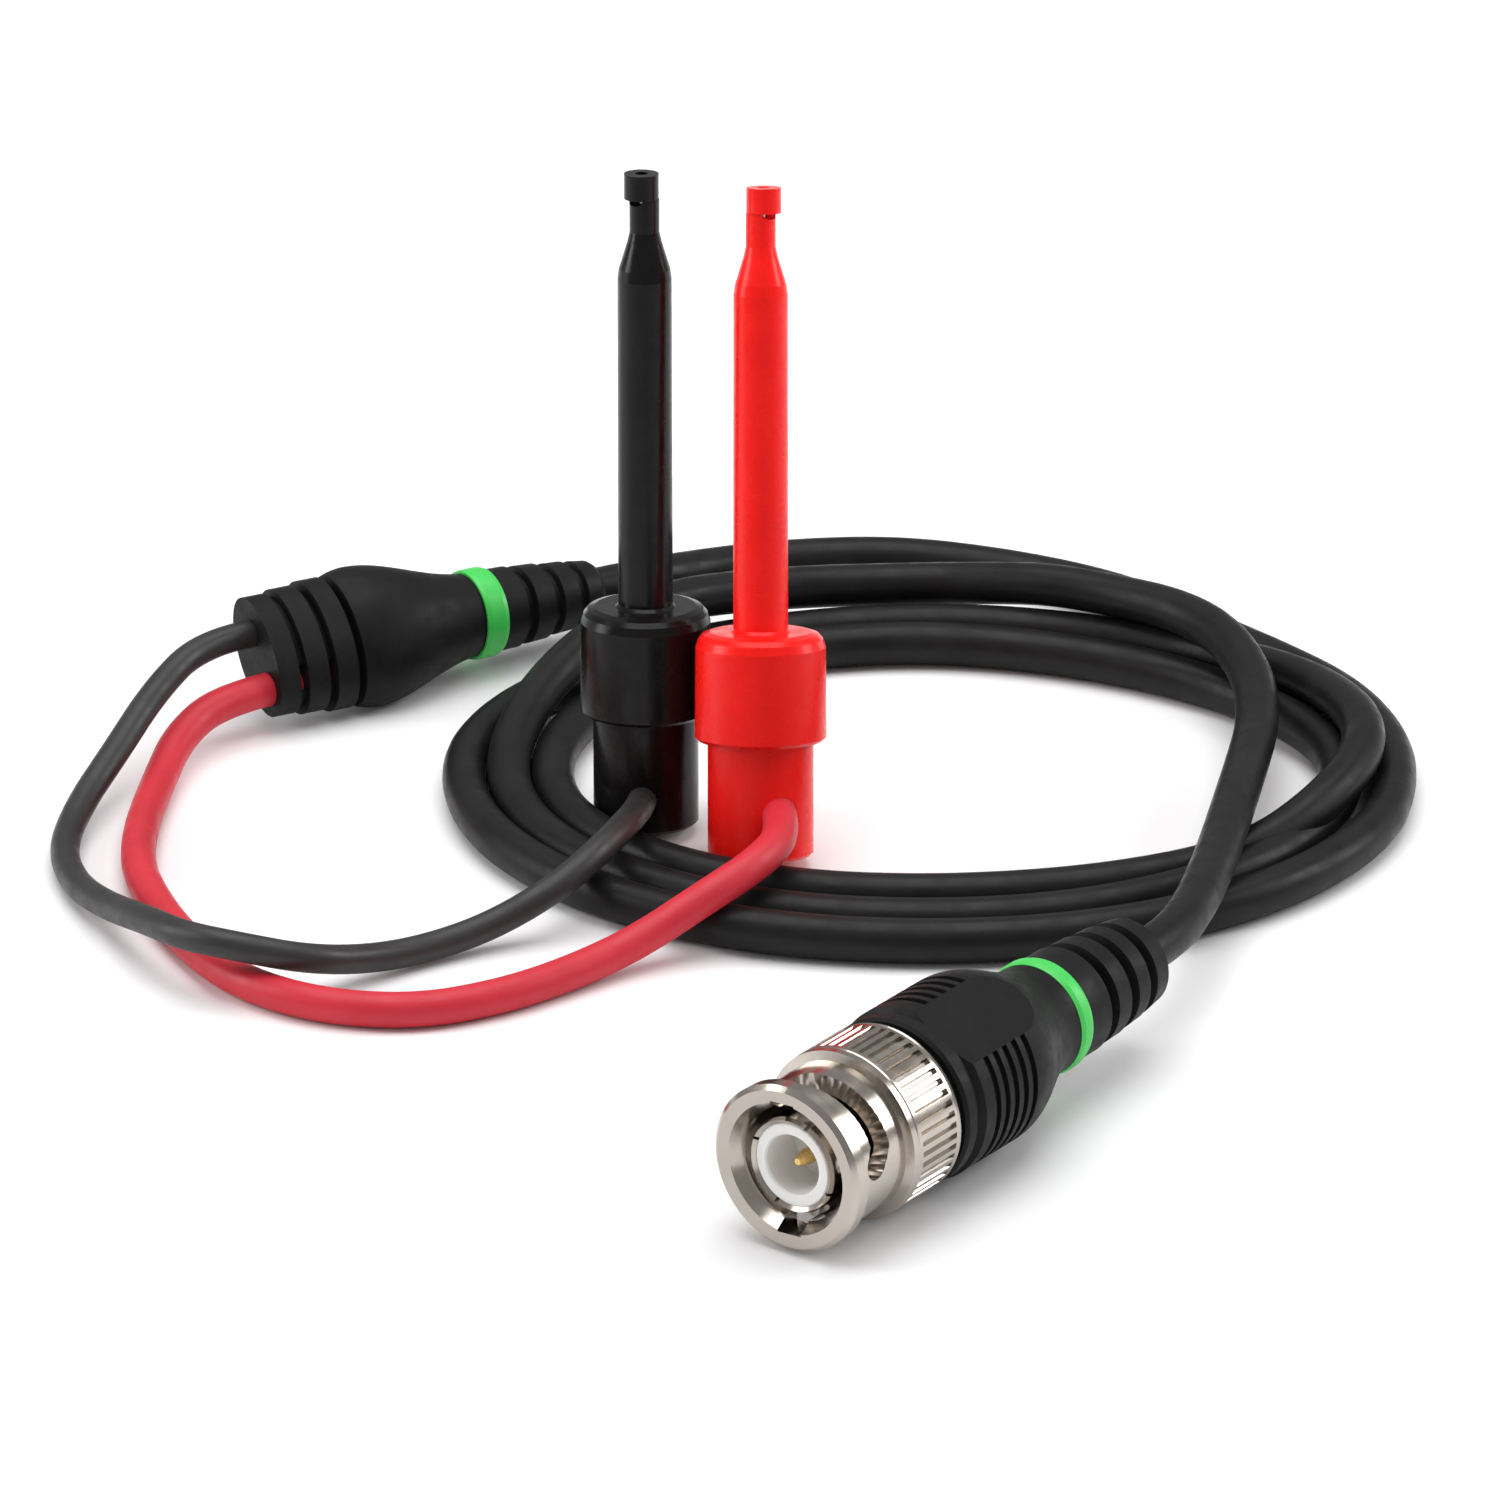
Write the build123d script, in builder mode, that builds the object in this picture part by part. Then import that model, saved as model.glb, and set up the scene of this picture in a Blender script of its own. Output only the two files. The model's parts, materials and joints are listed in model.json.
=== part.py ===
from build123d import *
import math
import os

os.makedirs("parts", exist_ok=True)

# An oscilloscope test lead: a BNC plug, a coiled coax, a splitter and two spring hook clips.
# Millimetres. +Z is up, and the surface that everything lies on is z = 0. The origin is at the
# middle of the box around the plug, the splitter and the two clips.

# ---------------------------------------------------------------- driving dimensions

# the BNC plug: stations run from the coupling nut's front lip back along the axis
BOOT_R = 7.45
PLUG_LIP = (7.7, -60.0, BOOT_R)
PLUG_HEADING = 36.9
KNURL_R = 7.25
LIP_R = 7.1
SLEEVE_R = 6.45
COLLAR_R = 7.2
NUT_BORE_R = 4.85
NUT_CAVITY_R = 6.2
NUT_END = 14.2
KNURL_FROM = 8.2
KNURL_TO = 13.5
KNURL_RIDGES = 48
KNURL_DEPTH = 0.32
KNURL_FLOOR = 0.12
KNURL_MOUTH = 0.34
CONTACT_R = 4.075
CONTACT_BORE_R = 3.55
CONTACT_FROM = 0.8
CONTACT_ROOT_R = 3.9
CONTACT_ROOT_FROM = 7.5
CUP_R = 2.55
CUP_FLOOR = 4.9
PIN_R = 0.675
STUD_SLOT_R = 1.15
FLANGE_FROM = 9.65
FLANGE_TO = 10.65
FLANGE_R = 6.05
NECK_R = 4.5
NECK_TO = 17.5
BARB_R = 5.2
SPIGOT_R = 2.6
SPIGOT_TO = 20.5
FERRULE_R = 3.1
FERRULE_TO = 24.0
RING_BORE_R = NECK_R + 0.08
BOOT_FROM = 14.7
BOOT_FLAT = 6.7
BOOT_ROLL = 28.0
GRIP_GROOVES = 5
GRIP_GROOVE_PITCH = 1.25
BOOT_RING_FROM = 33.8
BOOT_RING_TO = 35.4
BOOT_RING_R = 4.95
BOOT_TO = 47.9

# the coax
COAX_R = 1.9
COAX_CORE_R = 1.15
COAX_WIRE_R = 0.4
COIL_HEIGHT = 3.9
COIL_CHAMFER = 1.2

# the splitter: stations run from the two lead exits to the coax
SPLITTER_TAIL = (-38.0, 41.7, 6.35)
SPLITTER_AXIS = (29.7, 19.6, -2.0)
SPLITTER_ROLL = -39.0
RED_EXIT = -3.0
BLACK_EXIT = 2.2
SPLITTER_RING_FROM = 21.4
SPLITTER_RING_TO = 23.6
SPLITTER_RING_R = 3.95
SPLITTER_TO = 34.6
SPLICE_FROM = 9.0
SPLICE_TO = 12.6
SPLICE_R = 1.75
JACKET_CUT = 14.6
TAIL_R = 0.5
TAIL_SPREAD = 0.25

# the two leads
RED_LEAD_R = 1.5
BLACK_LEAD_R = 1.25

# the hook clips: heights run up the clip's axis from the thumb button's base
BUTTON_R = 4.5
BUTTON_TOP = 13.0
SLEEVE_BOTTOM = 9.9
CAP_R = 5.6
CAP_TOP = 19.2
CAP_ROOF = 17.7
STEM_R = 2.33
CONE_FROM = 47.9
CONE_TO = 51.7
TIP_NECK_R = 1.27
TIP_NECK_TOP = 54.8
CLIP_TOP = 57.0
HOOK_BLOCK_R = 1.47
HOOK_OVERHANG = 0.25
ROD_R = 1.45
ROD_TOP = 22.5
STEM_BORE_R = 1.55
SPRING_TOP = 47.3
SPRING_R = 1.2
SPRING_WIRE_R = 0.18
SPRING_PITCH = 1.55
HOOK_WIRE_R = 0.45
SLEEVE_CLEARANCE = 0.06
TERMINAL_R = 1.1

RED_CLIP_FOOT = (5.9, 12.1, 1.2)
RED_CLIP_LEAN = 15.0
BLACK_CLIP_FOOT = (-3.9, 20.0, 0.65)
BLACK_CLIP_LEAN = 8.0

# free cord routes, from one end to the other
COAX_PLUG_ROUTE = [
    (36.46, -21.69, 7.45), (39.76, -17.29, 7.45), (42.2, -9.0, 6.9), (44.2, 1.0, 6.4),
    (45.9, 11.0, 6.1), (47.6, 21.5, 5.5), (48.9, 30.0, 4.0), (50.4, 38.0, 2.0),
]
COAX_SPLITTER_ROUTE = [
    (-9.17, 60.73, 4.41), (-4.59, 63.76, 4.15), (1.6, 69.3, 2.8), (9.2, 73.2, 2.0),
    (18.6, 73.9, 1.95), (28.6, 70.8, 1.95), (36.8, 66.4, 1.95), (42.2, 61.4, 1.95),
    (46.6, 56.0, 1.95), (51.3, 50.9, 1.95),
]
RED_ROUTE = [
    (-37.07, 40.05, 4.02), (-41.2, 37.3, 4.1), (-44.5, 32.6, 2.9), (-46.0, 25.6, 1.6),
    (-47.0, 17.5, 1.5), (-47.0, 9.0, 1.5), (-44.8, 0.9, 1.5), (-41.6, -6.8, 1.5),
    (-37.2, -13.6, 1.5), (-30.5, -18.1, 1.5), (-22.5, -19.2, 1.5), (-15.4, -16.2, 1.5),
    (-9.8, -11.8, 1.5), (-4.4, -7.4, 2.2), (1.2, -4.4, 4.9), (5.8, -0.6, 6.4),
    (8.0, 5.2, 6.4), (7.3, 11.2, 6.1),
]
BLACK_ROUTE = [
    (-38.68, 42.91, 8.06), (-42.85, 40.16, 8.34), (-46.6, 33.8, 6.6), (-49.6, 26.6, 4.2),
    (-52.4, 20.0, 2.2), (-53.6, 12.8, 1.3), (-52.0, 5.6, 1.4), (-48.8, -0.8, 2.4),
    (-45.2, -7.6, 4.4), (-42.0, -12.3, 5.2), (-37.2, -14.5, 5.2), (-31.9, -13.9, 3.8),
    (-27.2, -10.3, 2.0), (-22.4, -7.0, 1.3), (-16.8, -3.8, 1.9), (-11.2, -1.0, 4.2), (-7.6, 3.2, 5.8),
    (-5.4, 8.2, 6.0), (-4.3, 13.2, 5.2), (-4.1, 18.0, 3.8),
]

# the coil's plan: the outside of its outermost turn, and the inside of its innermost one
COIL_OUTSIDE = [
    (-21.2, 27.0), (-18.4, 38.0), (-11.2, 49.0), (-2.0, 57.2), (9.5, 62.6), (21.0, 64.6),
    (31.0, 63.0), (41.0, 58.6), (51.5, 52.4), (59.4, 42.6), (62.4, 29.0), (60.2, 16.6),
    (53.6, 6.2), (44.0, -2.9), (32.0, -7.6), (17.0, -8.0), (0.0, -2.9), (-12.2, 6.0),
    (-18.8, 16.6),
]
COIL_INSIDE = [
    (-10.7, 29.0), (-9.9, 23.0), (-9.1, 18.8), (-7.2, 14.7), (-3.0, 11.4), (3.0, 7.9),
    (10.5, 5.3), (21.0, 4.4), (35.0, 6.6), (46.5, 15.0), (53.2, 25.4), (51.4, 34.4),
    (45.6, 41.6), (35.6, 47.8), (25.0, 51.6), (12.5, 51.4), (1.0, 46.8), (-7.0, 39.0),
]


# ---------------------------------------------------------------- frames and helpers

def leaning(foot, degrees):
    """A clip's own frame: z up its axis, leaning away along +Y, and x to the right."""
    lean = math.radians(degrees)
    return Plane(origin=foot, x_dir=(1, 0, 0), z_dir=(0, math.sin(lean), math.cos(lean)))


heading = math.radians(PLUG_HEADING)
plug = Plane(origin=PLUG_LIP, x_dir=(0, 0, 1), z_dir=(math.sin(heading), math.cos(heading), 0))


def turned(frame, degrees):
    """A frame turned about its own z axis."""
    angle = math.radians(degrees)
    return Plane(
        origin=frame.origin,
        x_dir=frame.x_dir * math.cos(angle) + frame.y_dir * math.sin(angle),
        z_dir=frame.z_dir,
    )


splitter = Plane(origin=SPLITTER_TAIL, x_dir=(0, 0, 1), z_dir=SPLITTER_AXIS)
splitter = turned(splitter, SPLITTER_ROLL)


def at(frame, station, across=0.0, sideways=0.0):
    """A frame moved along its own axes."""
    return Plane(
        origin=frame.from_local_coords(Vector(across, sideways, station)),
        x_dir=frame.x_dir,
        z_dir=frame.z_dir,
    )


def half_section(frame, turn=0.0):
    """The plane through a frame's axis, with x across it and y along it."""
    side = turned(frame, turn)
    return Plane(origin=side.origin, x_dir=side.x_dir, z_dir=side.y_dir * -1)


def spin(frame, outline, start=0.0, arc=360.0, mode=Mode.ADD):
    """Turn an outline of (radius, station) points about a frame's axis in the open part."""
    with BuildSketch(half_section(frame, start)) as section:
        with BuildLine():
            Polyline(*outline, close=True)
        make_face()
    revolve(section.sketch, axis=Axis(frame.origin, frame.z_dir), revolution_arc=arc, mode=mode)


def tube(frame, outside, inside, low, high, mode=Mode.ADD):
    """A straight tube between two stations."""
    spin(frame, [(inside, low), (outside, low), (outside, high), (inside, high)], mode=mode)


def disc(frame, radius, low, high, across=0.0, sideways=0.0, mode=Mode.ADD):
    """A round bar between two stations."""
    with BuildSketch(at(frame, low, across, sideways)) as section:
        Circle(radius)
    extrude(section.sketch, amount=high - low, mode=mode)


def rod(start, end, radius, mode=Mode.ADD):
    """A round bar from one point to another."""
    way = Vector(end) - Vector(start)
    with BuildSketch(Plane(origin=start, z_dir=way)) as section:
        Circle(radius)
    extrude(section.sketch, amount=way.length, mode=mode)


def bend_radii(route):
    """The largest tangent arc that each corner of a route has room for."""
    radii = []
    for before, corner, after in zip(route, route[1:], route[2:]):
        run_in = Vector(*corner) - Vector(*before)
        run_out = Vector(*after) - Vector(*corner)
        half_turn = math.radians(run_in.get_angle(run_out)) / 2
        radii.append(0.45 * min(run_in.length, run_out.length) / math.tan(half_turn))
    return radii


def cord(name, route, radius):
    """Sweep a round cord along straight runs joined by tangent arcs, in the open part."""
    radii = bend_radii(route)
    with BuildLine() as path:
        FilletPolyline(*route, radius=radii)
    centre_line = path.wires()[0]
    with BuildSketch(Plane(origin=route[0], z_dir=centre_line % 0)) as section:
        Circle(radius)
    swept = sweep(section.sketch, path=centre_line)
    ideal = math.pi * radius ** 2 * centre_line.length
    print(f"{name}: length {centre_line.length:.1f}, volume ratio {swept.volume / ideal:.4f},",
          "radii", [round(one, 1) for one in radii])


def save(builder, name):
    """Write one sub-part to its own STEP file."""
    builder.part.label = name
    export_step(builder.part, f"parts/{name}.step")


# ---------------------------------------------------------------- BNC plug

# coupling nut: flared lip, bayonet sleeve with two cam slots, collar and knurled grip
with BuildPart() as coupling_nut:
    spin(plug, [
        (5.6, 0.15), (6.7, 0.0), (LIP_R, 0.4), (LIP_R, 1.5), (SLEEVE_R, 2.2),
        (SLEEVE_R, 7.4), (COLLAR_R, 7.6), (COLLAR_R, KNURL_FROM), (KNURL_R, KNURL_FROM + 0.15),
        (KNURL_R, KNURL_TO), (KNURL_R - 0.1, KNURL_TO + 0.1), (KNURL_R, KNURL_TO + 0.25),
        (KNURL_R - 0.25, NUT_END), (6.35, NUT_END), (6.35, 12.7), (NUT_CAVITY_R, 12.7),
        (NUT_CAVITY_R, 9.4), (NUT_BORE_R, 9.4), (NUT_BORE_R, 1.3),
    ])
    for index in range(KNURL_RIDGES):
        groove = turned(plug, index * 360 / KNURL_RIDGES)
        with BuildSketch(at(groove, KNURL_FROM + 0.5, across=KNURL_R)) as notch:
            with BuildLine():
                Polyline(
                    (0.2, -KNURL_MOUTH), (0.2, KNURL_MOUTH), (-KNURL_DEPTH, KNURL_FLOOR),
                    (-KNURL_DEPTH, -KNURL_FLOOR), close=True,
                )
            make_face()
        extrude(notch.sketch, amount=KNURL_TO - KNURL_FROM - 0.8, mode=Mode.SUBTRACT)
    for start in (-4.0, 176.0):
        # the stud's way in: a groove inside the lip
        entry = turned(plug, start)
        with BuildSketch(at(entry, 0.0)) as way_in:
            with Locations((5.2, 0)):
                Rectangle(0.9, 2 * STUD_SLOT_R)
        extrude(way_in.sketch, amount=4.0, mode=Mode.SUBTRACT)
        # the cam slot: a stud's width, turning as it goes back, with a rest at its end
        for step in range(15):
            turn = start + 6.2 * step
            back = 3.7 + 0.75 * math.sin(math.radians(90 * min(step, 11) / 11))
            if step > 12:
                back -= 0.45 * (step - 12)
            stud = turned(plug, turn)
            wall = Plane(
                origin=stud.from_local_coords(Vector(NUT_BORE_R - 0.6, 0, back)),
                x_dir=stud.z_dir,
                z_dir=stud.x_dir,
            )
            with BuildSketch(wall) as hole:
                Circle(STUD_SLOT_R)
            extrude(hole.sketch, amount=3.0, mode=Mode.SUBTRACT)
save(coupling_nut, "coupling_nut")

# retaining ring, pressed into the nut's back
with BuildPart() as nut_back_ring:
    tube(plug, 6.35, RING_BORE_R, 12.7, 13.8)
save(nut_back_ring, "nut_back_ring")

# thrust washer, which the nut's back ring pushes forward when the plug is locked
with BuildPart() as thrust_washer:
    tube(plug, 6.1, RING_BORE_R, 12.05, 12.6)
save(thrust_washer, "thrust_washer")

# wave spring between the body's flange and the thrust washer
with BuildPart() as wave_spring:
    tube(plug, 5.95, 4.9, FLANGE_TO, FLANGE_TO + 0.25)
    for index in range(3):
        spin(plug, [(4.95, FLANGE_TO + 0.2), (5.9, FLANGE_TO + 0.2), (5.9, 12.05), (4.95, 12.05)],
             start=index * 120, arc=16)
save(wave_spring, "wave_spring")

# nickel-plated body: bearing for the nut, flange, barbed neck and crimp spigot
with BuildPart() as plug_body:
    spin(plug, [
        (CONTACT_ROOT_R, 8.8), (4.75, 8.8), (4.75, FLANGE_FROM), (FLANGE_R, FLANGE_FROM),
        (FLANGE_R, FLANGE_TO),
        (NECK_R, FLANGE_TO), (NECK_R, 15.8), (BARB_R, 16.0), (BARB_R, 16.6), (NECK_R, 17.0),
        (NECK_R, NECK_TO), (SPIGOT_R, NECK_TO), (SPIGOT_R, SPIGOT_TO), (COAX_CORE_R, SPIGOT_TO),
        (COAX_CORE_R, 15.0), (CONTACT_BORE_R, 15.0), (CONTACT_BORE_R, 13.0), (CONTACT_ROOT_R, 13.0),
    ])
save(plug_body, "plug_body")

# sprung outer contact with its four slots
with BuildPart() as outer_contact:
    spin(plug, [
        (CONTACT_BORE_R, CONTACT_FROM + 0.25), (CONTACT_R - 0.2, CONTACT_FROM),
        (CONTACT_R, CONTACT_FROM + 0.35), (CONTACT_R, CONTACT_ROOT_FROM),
        (CONTACT_ROOT_R, CONTACT_ROOT_FROM), (CONTACT_ROOT_R, 13.0), (CONTACT_BORE_R, 13.0),
    ])
    for turn in (22, 112):
        with BuildSketch(at(turned(plug, turn), 0.0)) as slit:
            Rectangle(10.0, 0.3)
        extrude(slit.sketch, amount=5.2, mode=Mode.SUBTRACT)
save(outer_contact, "outer_contact")

# soft gasket at the root of the outer contact
with BuildPart() as gasket:
    tube(plug, 4.72, CONTACT_ROOT_R, 8.0, 8.78)
save(gasket, "gasket")

# white insulator with its deep cup
with BuildPart() as insulator:
    spin(plug, [
        (PIN_R, CUP_FLOOR), (CUP_R, CUP_FLOOR), (CUP_R, 1.15), (CUP_R + 0.15, 1.0),
        (CONTACT_BORE_R - 0.1, 1.0), (CONTACT_BORE_R, 1.1), (CONTACT_BORE_R, 14.9),
        (PIN_R, 14.9),
    ])
save(insulator, "insulator")

# gold-plated centre pin with a rounded point
with BuildPart() as centre_pin:
    spin(plug, [
        (0, 1.7), (0.28, 1.75), (0.5, 2.2), (PIN_R, 3.0), (PIN_R, 15.6), (COAX_CORE_R - 0.1, 15.6),
        (COAX_CORE_R - 0.1, 17.4), (COAX_WIRE_R, 17.4), (COAX_WIRE_R, 16.2), (0, 16.2),
    ])
save(centre_pin, "centre_pin")

# crimp ferrule over the braid and the jacket's end
with BuildPart() as crimp_ferrule:
    spin(plug, [
        (SPIGOT_R, NECK_TO + 0.1), (FERRULE_R, NECK_TO + 0.1), (FERRULE_R, FERRULE_TO),
        (COAX_R, FERRULE_TO), (COAX_R, SPIGOT_TO + 0.4), (SPIGOT_R, SPIGOT_TO),
    ])
save(crimp_ferrule, "crimp_ferrule")

# the coax inside the plug: stripped wire, core and jacket
with BuildPart() as coax_in_plug:
    spin(plug, [
        (0, 16.2), (COAX_WIRE_R, 16.2), (COAX_WIRE_R, 17.6), (COAX_CORE_R, 17.6),
        (COAX_CORE_R, SPIGOT_TO + 0.4), (COAX_R, SPIGOT_TO + 0.4), (COAX_R, BOOT_TO), (0, BOOT_TO),
    ])
save(coax_in_plug, "coax_in_plug")

# moulded grip and ribbed strain relief
with BuildPart() as plug_boot:
    with BuildSketch(half_section(plug)) as boot_section:
        with BuildLine():
            shoulder = Polyline(
                (COAX_R, BOOT_TO), (COAX_R, FERRULE_TO), (FERRULE_R, FERRULE_TO),
                (FERRULE_R, NECK_TO), (NECK_R, NECK_TO), (NECK_R, 17.0), (BARB_R, 16.6),
                (BARB_R, 16.0), (NECK_R, 15.8), (NECK_R, BOOT_FROM), (7.0, BOOT_FROM),
                (7.25, BOOT_FROM + 0.3), (7.25, 16.0), (6.95, 16.2), (6.95, 16.6),
                (BOOT_R, 17.0), (BOOT_R, 24.2),
            )
            taper = Spline(shoulder @ 1, (6.35, 28.3), (5.1, 31.2), (4.75, BOOT_RING_FROM),
                           tangents=((0, 1), (0, 1)))
            Polyline(
                taper @ 1, (4.3, BOOT_RING_FROM), (4.3, BOOT_RING_TO), (4.7, BOOT_RING_TO),
                (4.7, 38.2), (3.5, 38.5), (3.5, 39.2), (4.55, 39.5), (4.5, 41.3), (3.4, 41.6),
                (3.4, 42.3), (4.35, 42.6), (4.25, 44.3), (3.2, 44.6), (3.2, 45.2), (4.1, 45.5),
                (3.85, 47.4), (3.4, BOOT_TO), (COAX_R, BOOT_TO),
            )
        make_face()
    revolve(axis=Axis(plug.origin, plug.z_dir))
    # two flats on the grip
    grip = turned(plug, BOOT_ROLL)
    for side in (-1, 1):
        with BuildSketch(at(grip, 16.6)) as flat:
            with Locations((side * (BOOT_FLAT + 2), 0)):
                Rectangle(4, 20)
        extrude(flat.sketch, amount=12, mode=Mode.SUBTRACT)
    # finger grooves round both sides, from the edge of one flat to the other
    flat_edge = math.degrees(math.acos(BOOT_FLAT / BOOT_R))
    for side_start in (flat_edge, 180 + flat_edge):
        for index in range(GRIP_GROOVES):
            station = 18.35 + GRIP_GROOVE_PITCH * index
            reach = BOOT_R - 0.35
            spin(grip, [(reach, station), (9, station - 0.15), (9, station + 0.75),
                        (reach, station + 0.6)], start=side_start, arc=180 - 2 * flat_edge,
                 mode=Mode.SUBTRACT)
save(plug_boot, "plug_boot")

# coloured marker ring on the plug
with BuildPart() as plug_ring:
    spin(plug, [
        (4.3, BOOT_RING_FROM), (BOOT_RING_R - 0.15, BOOT_RING_FROM),
        (BOOT_RING_R, BOOT_RING_FROM + 0.4), (BOOT_RING_R, BOOT_RING_TO - 0.4),
        (BOOT_RING_R - 0.15, BOOT_RING_TO), (4.3, BOOT_RING_TO),
    ])
save(plug_ring, "plug_ring")


# ---------------------------------------------------------------- splitter

# moulded splitter: two ribbed snouts, a swollen body and a ribbed strain relief for the coax
with BuildPart() as splitter_boot:
    for index in range(3):
        with BuildSketch(at(splitter, 2.8 * index)) as segment:
            Ellipse(5.5 + 0.25 * index, 3.1 + 0.3 * index)
        extrude(segment.sketch, amount=2.1)
    with BuildSketch(at(splitter, 1.0)) as spine:
        Ellipse(5.0, 2.7)
    extrude(spine.sketch, amount=8.0)
    rims = []
    for station, wide, thick in (
        (8.4, 6.0, 3.9), (10.6, 6.4, 4.4), (13.4, 6.0, 4.5), (17.4, 4.7, 4.1),
        (SPLITTER_RING_FROM, 3.75, 3.75),
    ):
        with BuildSketch(at(splitter, station)) as rim:
            Ellipse(wide, thick)
        rims.append(rim.sketch)
    loft(rims)
    spin(splitter, [
        (0, 21.0), (3.4, 21.0), (3.4, SPLITTER_RING_TO), (3.7, SPLITTER_RING_TO), (3.65, 25.9),
        (2.9, 26.1), (2.9, 26.8), (3.5, 27.0), (3.4, 28.9), (2.7, 29.1), (2.7, 29.8), (3.2, 30.0),
        (3.1, 31.7), (2.5, 31.9), (2.5, 32.5), (2.95, 32.7), (2.75, 34.2), (2.5, SPLITTER_TO),
        (0, SPLITTER_TO),
    ])
    # windows in the ribbed tail, which show the red lead
    for station in (2.1, 4.9):
        with BuildSketch(at(splitter, station, across=RED_EXIT, sideways=2.4)) as window:
            Rectangle(2.0, 3.0)
        extrude(window.sketch, amount=0.7, mode=Mode.SUBTRACT)
    # room for what is moulded in
    for exit_at, lead_r in ((RED_EXIT, RED_LEAD_R), (BLACK_EXIT, BLACK_LEAD_R)):
        disc(splitter, lead_r, 0, SPLICE_FROM, across=exit_at, mode=Mode.SUBTRACT)
        disc(splitter, SPLICE_R, SPLICE_FROM, SPLICE_TO, across=exit_at, mode=Mode.SUBTRACT)
        rod(
            splitter.from_local_coords(Vector(exit_at, 0, SPLICE_TO)),
            splitter.from_local_coords(Vector(exit_at * TAIL_SPREAD, 0, JACKET_CUT)),
            TAIL_R,
            mode=Mode.SUBTRACT,
        )
    disc(splitter, COAX_R, JACKET_CUT, SPLITTER_TO, mode=Mode.SUBTRACT)
save(splitter_boot, "splitter_boot")

# coloured marker ring on the splitter
with BuildPart() as splitter_ring:
    spin(splitter, [
        (3.75, SPLITTER_RING_FROM), (SPLITTER_RING_R, SPLITTER_RING_FROM),
        (SPLITTER_RING_R + 0.1, SPLITTER_RING_FROM + 0.4),
        (SPLITTER_RING_R + 0.1, SPLITTER_RING_TO - 0.4),
        (SPLITTER_RING_R, SPLITTER_RING_TO), (3.4, SPLITTER_RING_TO), (3.4, SPLITTER_RING_FROM + 0.01),
        (3.75, SPLITTER_RING_FROM + 0.01),
    ])
save(splitter_ring, "splitter_ring")

# the coax's stripped end inside the splitter, with its two tails
with BuildPart() as coax_in_splitter:
    disc(splitter, COAX_R, JACKET_CUT, SPLITTER_TO)
    for exit_at in (RED_EXIT, BLACK_EXIT):
        rod(
            splitter.from_local_coords(Vector(exit_at * TAIL_SPREAD, 0, JACKET_CUT)),
            splitter.from_local_coords(Vector(exit_at, 0, SPLICE_TO)),
            TAIL_R,
        )
save(coax_in_splitter, "coax_in_splitter")

# insulated solder splices, one for each lead
for name, exit_at in (("black_splice", BLACK_EXIT), ("red_splice", RED_EXIT)):
    with BuildPart() as splice:
        disc(splitter, SPLICE_R, SPLICE_FROM, SPLICE_TO, across=exit_at)
    save(splice, name)

# the leads' roots inside the splitter
for name, exit_at, radius in (
    ("black_lead_root", BLACK_EXIT, BLACK_LEAD_R), ("red_lead_root", RED_EXIT, RED_LEAD_R),
):
    with BuildPart() as lead_root:
        disc(splitter, radius, 0, SPLICE_FROM, across=exit_at)
    save(lead_root, name)


# ---------------------------------------------------------------- hook clips

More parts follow.
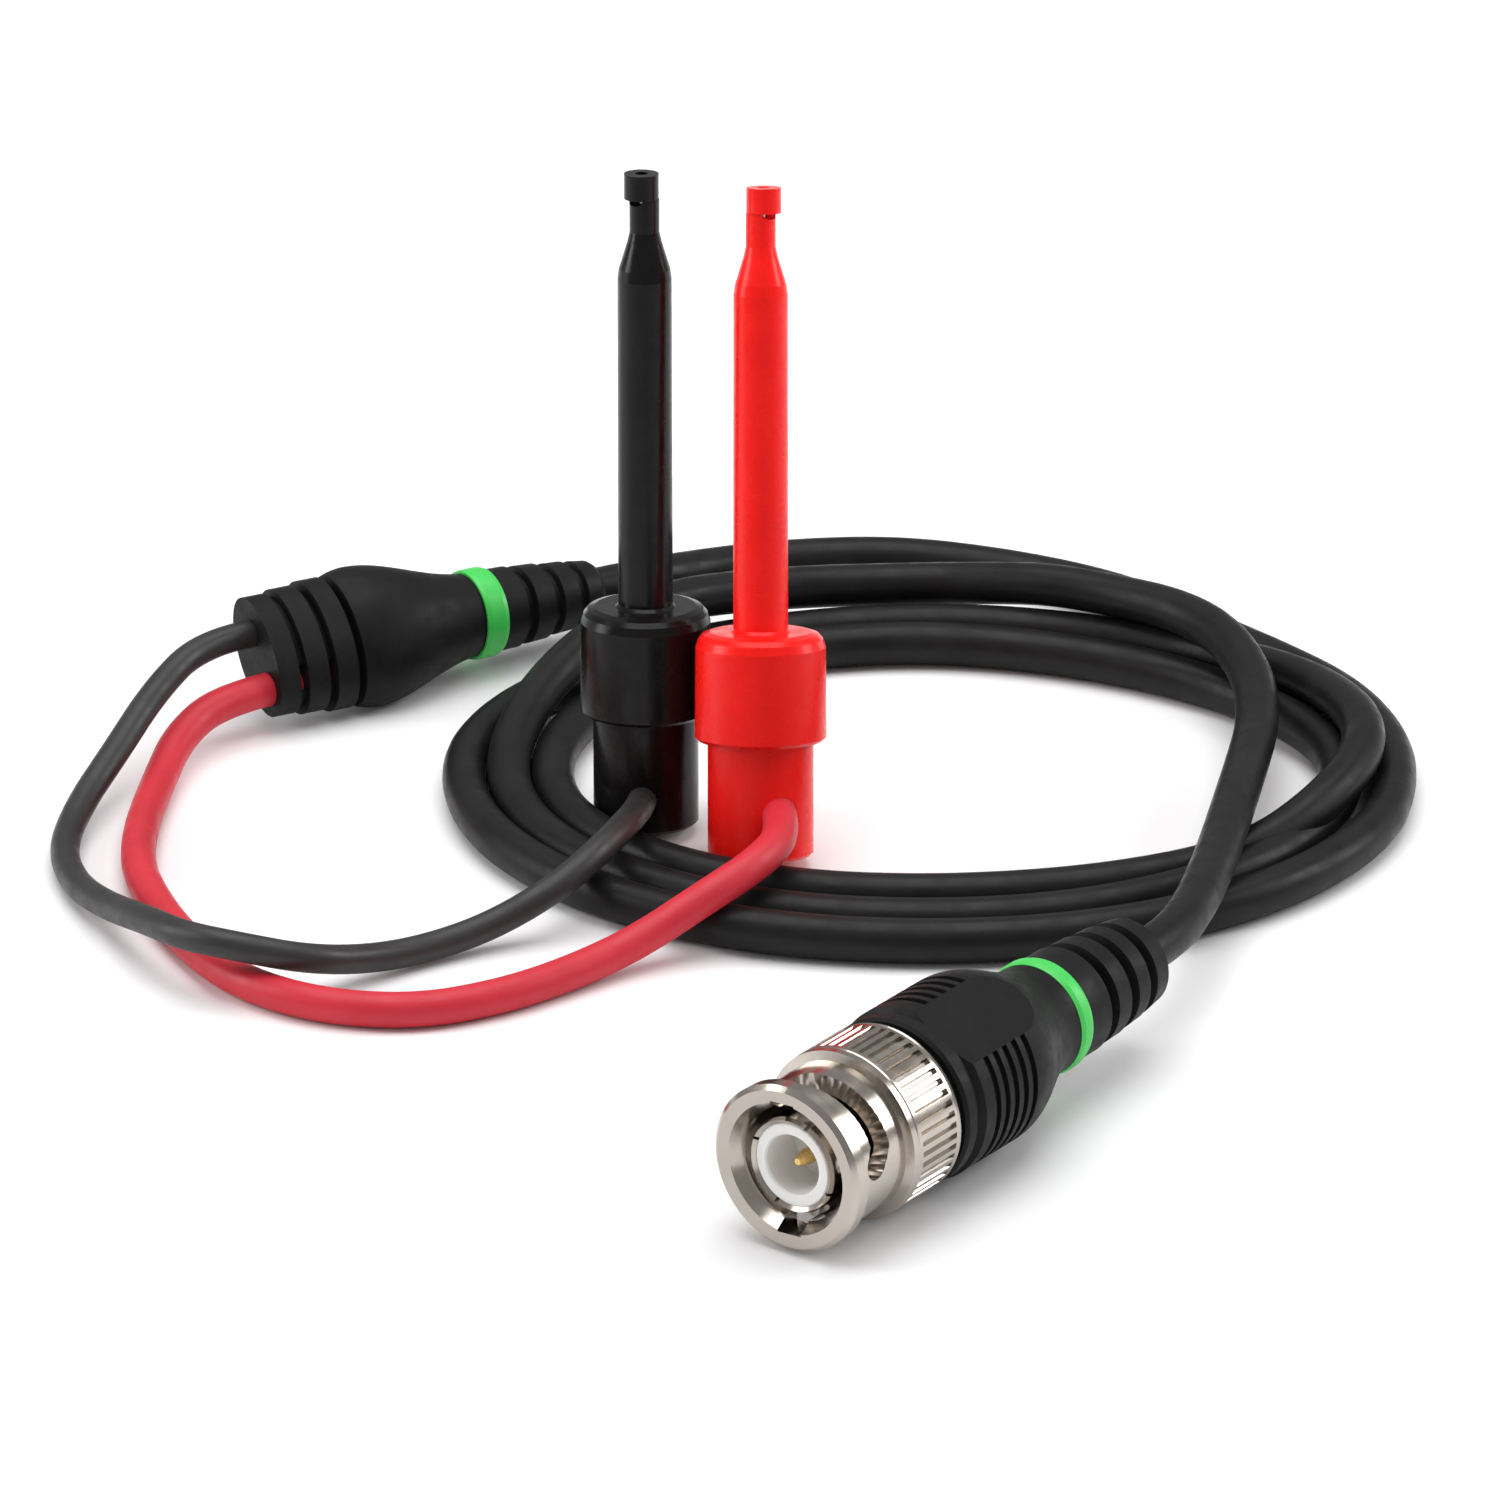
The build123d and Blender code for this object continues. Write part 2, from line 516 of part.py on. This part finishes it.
def make_clip(colour, foot, lean, side, route, lead_radius):
    """One hook clip. The sleeve slides down over the thumb button, and the hook stands still."""
    clip = leaning(foot, lean)
    lead_end = Vector(*route[-1])
    way_out = (Vector(*route[-2]) - lead_end).normalized()

    # thumb button with its guide rod and the side hole that the lead goes into
    with BuildPart() as button:
        spin(clip, [
            (0, 0.15), (0.6, 0), (BUTTON_R - 0.3, 0), (BUTTON_R, 0.3), (BUTTON_R, BUTTON_TOP - 0.3),
            (BUTTON_R - 0.3, BUTTON_TOP), (ROD_R, BUTTON_TOP), (ROD_R, ROD_TOP), (0, ROD_TOP),
        ])
        disc(clip, TERMINAL_R, 2.0, 8.0, mode=Mode.SUBTRACT)
        disc(clip, HOOK_WIRE_R, 8.0, ROD_TOP, mode=Mode.SUBTRACT)
        rod(lead_end, lead_end + way_out * 8, lead_radius, mode=Mode.SUBTRACT)
    save(button, f"{colour}_button")

    # brass solder terminal at the hook wire's foot
    with BuildPart() as terminal:
        tube(clip, TERMINAL_R, HOOK_WIRE_R, 2.0, 8.0)
    save(terminal, f"{colour}_terminal")

    # hook wire, all the way up to the hook block
    with BuildPart() as hook_wire:
        disc(clip, HOOK_WIRE_R, 2.0, TIP_NECK_TOP + 1.2)
    save(hook_wire, f"{colour}_hook_wire")

    # moulded hook block on the wire's end
    with BuildPart() as hook_block:
        offset = side * HOOK_OVERHANG
        disc(clip, HOOK_BLOCK_R, TIP_NECK_TOP + 0.05, CLIP_TOP, across=offset)
        disc(clip, 0.55, CLIP_TOP - 0.7, CLIP_TOP, across=offset, mode=Mode.SUBTRACT)
        disc(clip, HOOK_WIRE_R, TIP_NECK_TOP, TIP_NECK_TOP + 1.2, mode=Mode.SUBTRACT)
    save(hook_block, f"{colour}_hook_block")

    # compression spring inside the stem
    with BuildPart() as spring:
        height = SPRING_TOP - ROD_TOP - 2 * SPRING_WIRE_R
        foot_of_spring = clip.from_local_coords(Vector(0, 0, ROD_TOP + SPRING_WIRE_R))
        with BuildLine() as coil_line:
            Helix(
                pitch=SPRING_PITCH, height=height, radius=SPRING_R, center=foot_of_spring,
                direction=clip.z_dir,
            )
        with BuildSketch(Plane(origin=coil_line.line @ 0, z_dir=coil_line.line % 0)) as wire:
            Circle(SPRING_WIRE_R)
        sweep(wire.sketch, path=coil_line.line, is_frenet=True)
    save(spring, f"{colour}_spring")

    # sleeve: finger cap, stem, cone and tip neck, bored for the button, the rod and the wire
    bore = BUTTON_R + SLEEVE_CLEARANCE
    with BuildPart() as sleeve:
        spin(clip, [
            (bore + 0.25, SLEEVE_BOTTOM), (CAP_R - 0.3, SLEEVE_BOTTOM), (CAP_R, SLEEVE_BOTTOM + 0.3),
            (CAP_R - 0.06, CAP_TOP - 1.3), (CAP_R - 0.3, CAP_TOP - 0.6), (CAP_R - 0.65, CAP_TOP - 0.2),
            (CAP_R - 1.3, CAP_TOP), (STEM_R + 0.25, CAP_TOP), (STEM_R, CAP_TOP + 0.25),
            (STEM_R - 0.03, CONE_FROM), (STEM_R - 0.15, CONE_FROM + 0.9),
            (TIP_NECK_R + 0.2, CONE_TO - 0.6), (TIP_NECK_R, CONE_TO + 0.3),
            (TIP_NECK_R, TIP_NECK_TOP),
            (HOOK_WIRE_R + 0.06, TIP_NECK_TOP), (HOOK_WIRE_R + 0.06, SPRING_TOP),
            (STEM_BORE_R, SPRING_TOP), (STEM_BORE_R, CAP_ROOF), (bore, CAP_ROOF),
            (bore, SLEEVE_BOTTOM + 0.3),
        ])
        # the jaw notch under the hook
        jaw = Plane(
            origin=clip.from_local_coords(Vector(side * 0.9, 0, TIP_NECK_TOP)),
            x_dir=clip.x_dir,
            z_dir=clip.y_dir * -1,
        )
        with BuildSketch(jaw) as notch:
            Ellipse(0.75, 0.45)
        extrude(notch.sketch, amount=2.0, mode=Mode.SUBTRACT)
    save(sleeve, f"{colour}_sleeve")


make_clip("red", RED_CLIP_FOOT, RED_CLIP_LEAN, 1, RED_ROUTE, RED_LEAD_R)
make_clip("black", BLACK_CLIP_FOOT, BLACK_CLIP_LEAN, -1, BLACK_ROUTE, BLACK_LEAD_R)


# ---------------------------------------------------------------- free cords

with BuildPart() as coax_plug_side:
    cord("coax_plug_side", COAX_PLUG_ROUTE, COAX_R)
save(coax_plug_side, "coax_plug_side")

with BuildPart() as coax_splitter_side:
    cord("coax_splitter_side", COAX_SPLITTER_ROUTE, COAX_R)
save(coax_splitter_side, "coax_splitter_side")

with BuildPart() as red_lead:
    cord("red_lead", RED_ROUTE, RED_LEAD_R)
save(red_lead, "red_lead")

with BuildPart() as black_lead:
    cord("black_lead", BLACK_ROUTE, BLACK_LEAD_R)
save(black_lead, "black_lead")

# the coil: a flat ring of the coil's own outline
with BuildPart() as coax_coil:
    with BuildSketch() as coil_plan:
        with BuildLine():
            Spline(*COIL_OUTSIDE, periodic=True)
        make_face()
        with BuildLine():
            Spline(*COIL_INSIDE, periodic=True)
        make_face(mode=Mode.SUBTRACT)
    extrude(amount=COIL_HEIGHT)
    chamfer(faces().sort_by(Axis.Z)[-1].edges(), COIL_CHAMFER)
save(coax_coil, "coax_coil")
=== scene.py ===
import json
import math

import bpy
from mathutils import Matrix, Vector


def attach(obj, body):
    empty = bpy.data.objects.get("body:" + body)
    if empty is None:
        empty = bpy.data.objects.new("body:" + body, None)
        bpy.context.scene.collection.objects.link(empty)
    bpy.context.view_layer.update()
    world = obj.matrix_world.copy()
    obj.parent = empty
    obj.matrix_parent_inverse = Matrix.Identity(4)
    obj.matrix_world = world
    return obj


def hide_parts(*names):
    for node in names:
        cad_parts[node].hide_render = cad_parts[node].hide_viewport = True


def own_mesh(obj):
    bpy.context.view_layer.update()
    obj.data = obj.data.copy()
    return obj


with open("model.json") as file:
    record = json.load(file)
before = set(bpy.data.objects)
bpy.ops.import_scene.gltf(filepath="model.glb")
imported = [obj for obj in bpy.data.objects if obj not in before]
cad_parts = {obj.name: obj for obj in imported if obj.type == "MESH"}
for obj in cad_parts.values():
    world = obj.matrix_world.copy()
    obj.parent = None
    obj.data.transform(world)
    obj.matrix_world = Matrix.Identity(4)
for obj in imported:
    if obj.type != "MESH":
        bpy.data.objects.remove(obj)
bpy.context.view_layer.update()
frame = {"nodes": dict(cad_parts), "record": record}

MM = 0.001
nodes = frame["nodes"]


# ---------------------------------------------------------------- camera

CAMERA_PLACE = (0.005, -0.835, 0.397)
CAMERA_TILT = 65.5
CAMERA_LENS = 264
CAMERA_SENSOR = 36
CAMERA_NEAR = 0.01
CAMERA_FAR = 20

camera = bpy.data.objects.new("camera", bpy.data.cameras.new("camera"))
bpy.context.collection.objects.link(camera)
camera.location = CAMERA_PLACE
camera.rotation_euler = (math.radians(CAMERA_TILT), 0, 0)
camera.data.lens = CAMERA_LENS
camera.data.sensor_width = CAMERA_SENSOR
camera.data.clip_start = CAMERA_NEAR
camera.data.clip_end = CAMERA_FAR
bpy.context.scene.camera = camera


# ---------------------------------------------------------------- cords

COAX_R = 1.9
RED_LEAD_R = 1.5
BLACK_LEAD_R = 1.25
STEPS_ALONG = 10
STEPS_AROUND = 8

# the routes' points in millimetres, from the plug to the splitter and from there to the clips
COAX_FROM_PLUG = [
    (36.46, -21.69, 7.45), (39.76, -17.29, 7.45), (42.2, -9.0, 6.9), (44.2, 1.0, 6.4),
    (45.9, 11.0, 6.1), (47.6, 21.5, 5.5), (48.9, 30.0, 5.4), (48.9, 38.0, 6.0),
    (46.6, 45.6, 6.8), (42.6, 51.4, 6.7), (37.2, 55.8, 6.1), (31.4, 58.8, 5.9),
    (26.0, 61.2, 4.9),
]
COAX_TO_SPLITTER = [
    (61.0, 27.0, 1.95), (59.8, 36.6, 1.95), (56.6, 44.2, 1.95), (51.6, 50.6, 1.95),
    (46.6, 56.0, 1.95), (42.2, 61.4, 1.95), (36.8, 66.4, 1.95), (28.6, 70.8, 1.95),
    (18.6, 73.9, 1.95), (9.2, 73.2, 2.0), (1.6, 69.3, 2.8), (-4.59, 63.76, 4.15),
    (-9.17, 60.73, 4.41),
]
RED_ROUTE = [
    (-37.07, 40.05, 4.02), (-41.2, 37.3, 4.1), (-44.5, 32.6, 2.9), (-46.0, 25.6, 1.6),
    (-47.0, 17.5, 1.5), (-47.0, 9.0, 1.5), (-44.8, 0.9, 1.5), (-41.6, -6.8, 1.5),
    (-37.2, -13.6, 1.5), (-30.5, -18.1, 1.5), (-22.5, -19.2, 1.5), (-15.4, -16.2, 1.5),
    (-9.8, -11.8, 1.5), (-4.4, -7.4, 2.2), (1.2, -4.4, 4.9), (5.8, -0.6, 6.4),
    (8.0, 5.2, 6.4), (7.3, 11.2, 6.1),
]
BLACK_ROUTE = [
    (-38.68, 42.91, 8.06), (-42.85, 40.16, 8.34), (-46.6, 33.8, 6.6), (-49.6, 26.6, 4.2),
    (-52.4, 20.0, 2.2), (-53.6, 12.8, 1.3), (-52.0, 5.6, 1.4), (-48.8, -0.8, 2.4),
    (-45.2, -7.6, 4.4), (-42.0, -12.3, 5.2), (-37.2, -14.5, 5.2), (-31.9, -13.9, 3.8),
    (-27.2, -10.3, 2.0), (-22.4, -7.0, 1.3), (-16.8, -3.8, 1.9), (-11.2, -1.0, 4.2),
    (-7.6, 3.2, 5.8), (-5.4, 8.2, 6.0), (-4.3, 13.2, 5.2), (-4.1, 18.0, 3.8),
]

# the coil: how far each quarter reaches from the middle, going back, left, front, right, and how
# much the way from there to the next one bulges out
COIL_MIDDLE = (20.5, 28.5)
COIL_REACHES = [34.8, 37.0, 31.5, 36.2, 26.8, 33.05, 26.6, 38.2, 30.8, 40.9, 35.6, 41.0]
COIL_BULGES = [-0.045, 0.026, 0.004, -0.06, 0.0, 0.038, -0.008, -0.035, -0.027, 0.021, 0.008]
STEPS = 4
FLOOR_HEIGHT = 1.95
# where the strand climbs over others: how far round it has come, in quarters, and its rise there
COIL_CLIMB = [
    (0.0, 2.0), (0.25, 3.2), (0.5, 5.0), (0.75, 3.0), (1.0, 0.8), (1.25, 0.0),
    (6.5, 0.0), (6.75, 2.6), (7.0, 3.6), (7.25, 2.6), (7.5, 1.1), (7.75, 0.3), (8.0, 0.0),
]


def coil_rise(place):
    """How far above the floor's own height the strand is."""
    for (start, low), (end, high) in zip(COIL_CLIMB, COIL_CLIMB[1:]):
        if start <= place <= end:
            return low + (high - low) * (place - start) / (end - start)
    return 0.0


def coil_points():
    """The coil's control points, quarter by quarter."""
    ways = [(0, 1), (-1, 0), (0, -1), (1, 0)]
    points = []
    for quarter, bulge in enumerate(COIL_BULGES):
        first, second = ways[quarter % 4], ways[(quarter + 1) % 4]
        for step in range(STEPS):
            turn = math.radians(90 * step / STEPS)
            swell = 1 + bulge * math.sin(2 * turn)
            one = COIL_REACHES[quarter] * math.cos(turn) * swell
            two = COIL_REACHES[quarter + 1] * math.sin(turn) * swell
            points.append((
                COIL_MIDDLE[0] + one * first[0] + two * second[0],
                COIL_MIDDLE[1] + one * first[1] + two * second[1],
                FLOOR_HEIGHT + coil_rise(quarter + step / STEPS),
            ))
    return points


def cord_curve(name, route, radius):
    """A round cord along a smooth line with the route's points as its control points."""
    data = bpy.data.curves.new(name, "CURVE")
    data.dimensions = "3D"
    spline = data.splines.new("NURBS")
    spline.points.add(len(route) - 1)
    for point, place in zip(spline.points, route):
        point.co = (*[value * MM for value in place], 1)
        point.radius = MM
    spline.order_u = 3
    spline.use_endpoint_u = True
    spline.resolution_u = STEPS_ALONG
    data.bevel_depth = radius
    data.bevel_resolution = STEPS_AROUND
    data.use_fill_caps = True
    piece = bpy.data.objects.new(name, data)
    bpy.context.collection.objects.link(piece)
    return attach(piece, "lead_set")


coax_route = COAX_FROM_PLUG + coil_points() + COAX_TO_SPLITTER
coax = cord_curve("coax", coax_route, COAX_R)
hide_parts("coax_plug_side", "coax_coil", "coax_splitter_side")
red_lead = cord_curve("red_flex", RED_ROUTE, RED_LEAD_R)
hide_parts("red_lead")
black_lead = cord_curve("black_flex", BLACK_ROUTE, BLACK_LEAD_R)
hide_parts("black_lead")


# ---------------------------------------------------------------- materials

SCATTER_RATIO = (0.6, 0.5, 0.45)
SCATTER_DEPTH = 0.002
# the middle stretch of a noise, which is spread over the whole range of what it drives
NOISE_LOW = 0.35
NOISE_HIGH = 0.65


class Shader:
    """A small helper around one material's node tree."""

    def __init__(self, name, color, roughness, metallic=0.0, specular=0.5, coat=0.0,
                 coat_roughness=0.1, subsurface=0.0):
        self.material = bpy.data.materials.new(name)
        self.material.use_nodes = True
        self.tree = self.material.node_tree
        self.bsdf = self.tree.nodes["Principled BSDF"]
        self.bsdf.inputs["Base Color"].default_value = (*color, 1)
        self.bsdf.inputs["Roughness"].default_value = roughness
        self.bsdf.inputs["Metallic"].default_value = metallic
        self.bsdf.inputs["Specular IOR Level"].default_value = specular
        self.bsdf.inputs["Coat Weight"].default_value = coat
        self.bsdf.inputs["Coat Roughness"].default_value = coat_roughness
        if subsurface:
            self.bsdf.inputs["Subsurface Weight"].default_value = subsurface
            self.bsdf.inputs["Subsurface Radius"].default_value = SCATTER_RATIO
            self.bsdf.inputs["Subsurface Scale"].default_value = SCATTER_DEPTH
        self.coords = self.tree.nodes.new("ShaderNodeTexCoord").outputs["Object"]
        self.color = color

    def node(self, kind, **inputs):
        made = self.tree.nodes.new(kind)
        for key, value in inputs.items():
            socket = made.inputs[key.replace("_", " ")]
            if hasattr(value, "is_output"):
                self.tree.links.new(value, socket)
            else:
                socket.default_value = value
        return made

    def noise(self, scale, detail=3.0):
        return self.node("ShaderNodeTexNoise", Vector=self.coords, Scale=scale, Detail=detail,
                         Roughness=0.55).outputs["Fac"]

    def between(self, value, low, high):
        made = self.node("ShaderNodeMapRange", Value=value)
        made.inputs["From Min"].default_value = NOISE_LOW
        made.inputs["From Max"].default_value = NOISE_HIGH
        made.inputs["To Min"].default_value = low
        made.inputs["To Max"].default_value = high
        return made.outputs["Result"]

    def vary_roughness(self, scale, low, high):
        self.tree.links.new(self.between(self.noise(scale), low, high),
                            self.bsdf.inputs["Roughness"])

    def vary_color(self, scale, other, amount):
        mix = self.tree.nodes.new("ShaderNodeMix")
        mix.data_type = "RGBA"
        self.tree.links.new(self.between(self.noise(scale), 0, amount), mix.inputs["Factor"])
        mix.inputs["A"].default_value = (*self.color, 1)
        mix.inputs["B"].default_value = (*other, 1)
        self.tree.links.new(mix.outputs["Result"], self.bsdf.inputs["Base Color"])

    def bump(self, scale, height, detail=3.0):
        made = self.node("ShaderNodeBump", Strength=1.0, Distance=height * MM,
                         Height=self.noise(scale, detail))
        self.tree.links.new(made.outputs["Normal"], self.bsdf.inputs["Normal"])


def look(name, color, roughness, patches, drift=None, grain=None, **shader):
    """One material: how its roughness is patchy (scale, low, high), where its colour drifts to
    (scale, other colour, amount), and its surface grain (scale, height in mm, detail)."""
    made = Shader(name, color, roughness, **shader)
    made.vary_roughness(*patches)
    if drift:
        made.vary_color(*drift)
    if grain:
        made.bump(*grain)
    return made.material


materials = {
    "nickel": look(
        "nickel", (0.47, 0.425, 0.38), 0.2, (900, 0.17, 0.24),
        drift=(350, (0.41, 0.37, 0.325), 0.3), grain=(2200, 0.0015), metallic=1.0),
    "gold": look(
        "gold", (0.80, 0.55, 0.20), 0.22, (1500, 0.2, 0.32),
        drift=(600, (0.66, 0.42, 0.13), 0.5), metallic=1.0),
    "brass": look(
        "brass", (0.62, 0.45, 0.20), 0.3, (1200, 0.25, 0.42),
        drift=(500, (0.45, 0.31, 0.15), 0.5), metallic=1.0),
    "steel": look(
        "spring_steel", (0.5, 0.49, 0.48), 0.3, (1500, 0.24, 0.4),
        drift=(600, (0.4, 0.38, 0.36), 0.5), metallic=1.0),
    "ptfe": look(
        "white_insulator", (0.80, 0.79, 0.77), 0.42, (900, 0.38, 0.5),
        drift=(700, (0.72, 0.70, 0.66), 0.4), grain=(1500, 0.004), specular=0.3,
        subsurface=0.3),
    "gasket": look(
        "gasket", (0.3, 0.28, 0.26), 0.6, (900, 0.5, 0.7),
        drift=(700, (0.22, 0.2, 0.19), 0.5), specular=0.3),
    "black_moulding": look(
        "black_moulding", (0.0075, 0.0073, 0.0073), 0.46, (600, 0.4, 0.54),
        drift=(260, (0.012, 0.0118, 0.0118), 0.7), grain=(3200, 0.014, 5), specular=0.13),
    "marker_green": look(
        "marker_green", (0.06, 0.60, 0.10), 0.35, (700, 0.3, 0.42),
        drift=(400, (0.05, 0.50, 0.08), 0.5), grain=(2500, 0.008), specular=0.35),
    "coax_jacket": look(
        "coax_jacket", (0.0085, 0.0084, 0.009), 0.42, (500, 0.33, 0.48),
        drift=(200, (0.014, 0.0138, 0.0145), 0.7), grain=(2600, 0.012, 4), specular=0.17),
    "splice_sleeve": look(
        "splice_sleeve", (0.02, 0.02, 0.02), 0.5, (600, 0.45, 0.6), specular=0.3),
    "red_plastic": look(
        "red_plastic", (0.93, 0.011, 0.008), 0.27, (500, 0.22, 0.34),
        drift=(180, (0.84, 0.008, 0.006), 0.7), grain=(1800, 0.006), specular=0.2, coat=0.05,
        coat_roughness=0.2),
    "black_plastic": look(
        "black_plastic", (0.0052, 0.0042, 0.0042), 0.24, (500, 0.17, 0.3),
        drift=(200, (0.008, 0.008, 0.0085), 0.7), grain=(1800, 0.006), specular=0.17, coat=0.04,
        coat_roughness=0.15),
    "red_silicone": look(
        "red_silicone", (0.60, 0.028, 0.045), 0.45, (500, 0.38, 0.52),
        drift=(220, (0.52, 0.02, 0.034), 0.7), grain=(2400, 0.014, 4), specular=0.3),
    "black_silicone": look(
        "black_silicone", (0.024, 0.0235, 0.0245), 0.42, (500, 0.36, 0.5),
        drift=(220, (0.034, 0.033, 0.034), 0.7), grain=(2400, 0.014, 4), specular=0.34),
}


def paint(piece, name):
    piece.data.materials.clear()
    piece.data.materials.append(materials[name])


for row in frame["record"]["subparts"]:
    paint(nodes[row["node"]], row["material_slot"])
paint(coax, "coax_jacket")
paint(red_lead, "red_silicone")
paint(black_lead, "black_silicone")


# ---------------------------------------------------------------- springs


def pressed_spring(node):
    """A steel-painted copy of the spring that stands in for the hidden CAD part."""
    piece = bpy.data.objects.new(node + "_pressed", nodes[node].data.copy())
    bpy.context.collection.objects.link(piece)
    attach(piece, "lead_set")
    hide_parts(node)
    paint(piece, "steel")
    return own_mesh(piece)


pressed_spring("red_spring")
pressed_spring("black_spring")
pressed_spring("wave_spring")


# ---------------------------------------------------------------- floor and light

FLOOR_REACH = 4.0
WORLD_STRENGTH = 0.36

floor_mesh = bpy.data.meshes.new("floor")
floor_mesh.from_pydata(
    [(-FLOOR_REACH, -FLOOR_REACH, 0), (FLOOR_REACH, -FLOOR_REACH, 0),
     (FLOOR_REACH, FLOOR_REACH, 0), (-FLOOR_REACH, FLOOR_REACH, 0)], [],
    [(0, 1, 2, 3)],
)
floor = bpy.data.objects.new("floor", floor_mesh)
bpy.context.collection.objects.link(floor)
floor_mesh.materials.append(
    look("floor", (0.93, 0.93, 0.94), 0.6, (30, 0.45, 0.55), specular=0.1))


def softbox(name, place, aim, size, power):
    """A rectangular light, aimed at a point."""
    data = bpy.data.lights.new(name, "AREA")
    data.shape = "RECTANGLE"
    data.size, data.size_y = size
    data.energy = power
    light = bpy.data.objects.new(name, data)
    bpy.context.collection.objects.link(light)
    light.location = place
    light.rotation_euler = (Vector(aim) - Vector(place)).to_track_quat("-Z", "Y").to_euler()


softbox("overhead", (0.0, 0.10, 0.8), (0, 0.03, 0), (0.8, 0.8), 6.2)
softbox("left", (-0.8, 0.0, 0.35), (0, 0.02, 0.02), (0.3, 0.6), 3.6)
softbox("right", (0.75, 0.15, 0.4), (0, 0.02, 0.02), (0.25, 0.5), 3.0)
world = bpy.data.worlds.new("world")
world.use_nodes = True
world.node_tree.nodes["Background"].inputs["Color"].default_value = (1, 1, 1, 1)
world.node_tree.nodes["Background"].inputs["Strength"].default_value = WORLD_STRENGTH
bpy.context.scene.world = world
bpy.context.scene.view_settings.view_transform = "Standard"
